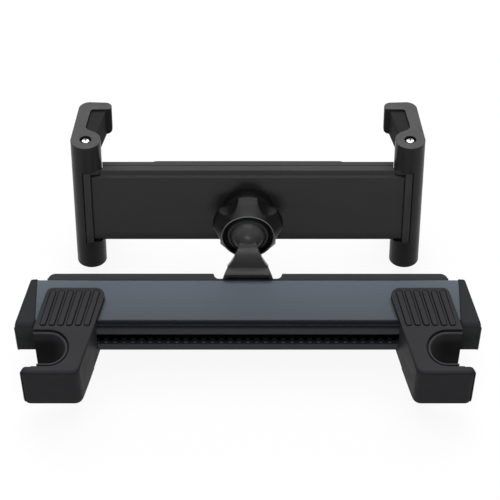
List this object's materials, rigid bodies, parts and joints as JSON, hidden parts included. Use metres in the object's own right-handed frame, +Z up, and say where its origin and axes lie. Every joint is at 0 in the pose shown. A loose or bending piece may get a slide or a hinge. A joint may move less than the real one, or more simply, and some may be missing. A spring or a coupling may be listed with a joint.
{
  "type": "headrest tablet mount",
  "caption": "Bar with sliding hooks that grip headrest posts, carrying a ball arm and a spring-loaded cradle with folding jaws for a tablet.",
  "frame": {"origin": "midway between the centres of the two post notches, at half the height of the hooks", "axes": "+X along the bar, +Y from the seat back towards the tablet, +Z up along the headrest posts"},
  "size_m": [0.2084, 0.1261, 0.0773],
  "materials": {
    "black_plastic": "fine matte moulded ABS",
    "anodised_alloy": "satin dark blue-grey anodised sheet",
    "soft_rubber": "matte silicone rubber",
    "nylon": "slightly waxy black nylon",
    "bright_steel": "nickel-plated steel"
  },
  "bodies": {
    "base": {"bar_housing": "black_plastic", "cover_plate": "anodised_alloy", "rear_plate": "black_plastic", "rack_strip": "black_plastic", "end_cap_left": "black_plastic", "end_cap_right": "black_plastic", "ball_arm": "black_plastic", "arm_screws": "bright_steel", "cap_screws": "bright_steel"},
    "hook_left_body": {"hook_left": "black_plastic", "hook_left_liner": "soft_rubber", "hook_left_shoe": "nylon", "hook_left_screws": "bright_steel"},
    "hook_right_body": {"hook_right": "black_plastic", "hook_right_liner": "soft_rubber", "hook_right_shoe": "nylon", "hook_right_screws": "bright_steel"},
    "ring_body": {"slip_ring": "nylon"},
    "seat_body": {"ball_seat": "nylon"},
    "cradle": {"rear_shell": "black_plastic", "front_shell": "black_plastic", "socket_cup": "black_plastic", "cup_screws": "bright_steel", "far_pad": "soft_rubber", "shell_screws": "bright_steel", "pinion_pin": "bright_steel", "return_spring_left": "bright_steel", "return_spring_right": "bright_steel"},
    "nut": {"clamp_nut": "black_plastic"},
    "arm_left": {"slide_arm_left": "black_plastic", "pivot_pin_left": "bright_steel"},
    "arm_right": {"slide_arm_right": "black_plastic", "pivot_pin_right": "bright_steel"},
    "pinion_body": {"pinion": "nylon"},
    "jaw_left_body": {"jaw_left": "black_plastic", "jaw_left_pads": "soft_rubber"},
    "jaw_right_body": {"jaw_right": "black_plastic", "jaw_right_pads": "soft_rubber"}
  },
  "joints": [
    {"name": "hook_left_slide", "type": "slide", "parent": "base", "child": "hook_left_body", "axis": [1, 0, 0], "range_m": [0, 0.028]},
    {"name": "hook_right_slide", "type": "slide", "parent": "base", "child": "hook_right_body", "axis": [-1, 0, 0], "range_m": [0, 0.028]},
    {"name": "cradle_pan", "type": "hinge", "parent": "base", "child": "ring_body", "pos_m": [0, 0.0549, 0.0235], "axis": [0, 0, 1], "range_deg": [-6, 6]},
    {"name": "cradle_tilt", "type": "hinge", "parent": "ring_body", "child": "seat_body", "pos_m": [0, 0.0549, 0.0235], "axis": [-1, 0, 0], "range_deg": [-25, 8]},
    {"name": "cradle_roll", "type": "hinge", "parent": "seat_body", "child": "cradle", "pos_m": [0, 0.0549, 0.0235], "axis": [0, 0.9588, -0.284], "continuous": true},
    {"name": "nut_turn", "type": "hinge", "parent": "cradle", "child": "nut", "pos_m": [0, 0.0549, 0.0235], "axis": [0, -0.9588, 0.284], "range_deg": [0, 120]},
    {"name": "arm_left_slide", "type": "slide", "parent": "cradle", "child": "arm_left", "axis": [-1, 0, 0], "range_m": [0, 0.04], "stiffness_N_per_m": 90, "springref_m": -0.03, "deforming": ["return_spring_left"]},
    {"name": "arm_right_slide", "type": "slide", "parent": "cradle", "child": "arm_right", "axis": [1, 0, 0], "range_m": [0, 0.04], "stiffness_N_per_m": 90, "springref_m": -0.03, "deforming": ["return_spring_right"]},
    {"name": "pinion_spin", "type": "hinge", "parent": "cradle", "child": "pinion_body", "pos_m": [0, 0.0549, 0.0235], "axis": [0, -0.9588, 0.284], "range_deg": [0, 382]},
    {"name": "jaw_left_fold", "type": "hinge", "parent": "arm_left", "child": "jaw_left_body", "pos_m": [-0.0728, 0.07647, 0.01711], "axis": [0, -0.284, -0.9588], "range_deg": [0, 80]},
    {"name": "jaw_right_fold", "type": "hinge", "parent": "arm_right", "child": "jaw_right_body", "pos_m": [0.0728, 0.07647, 0.01711], "axis": [0, 0.284, 0.9588], "range_deg": [0, 80]}
  ],
  "couplings": [
    {"joint": "arm_right_slide", "follows": "arm_left_slide", "ratio": 1},
    {"joint": "pinion_spin", "follows": "arm_left_slide", "rad_per_m": 166.67}
  ]
}
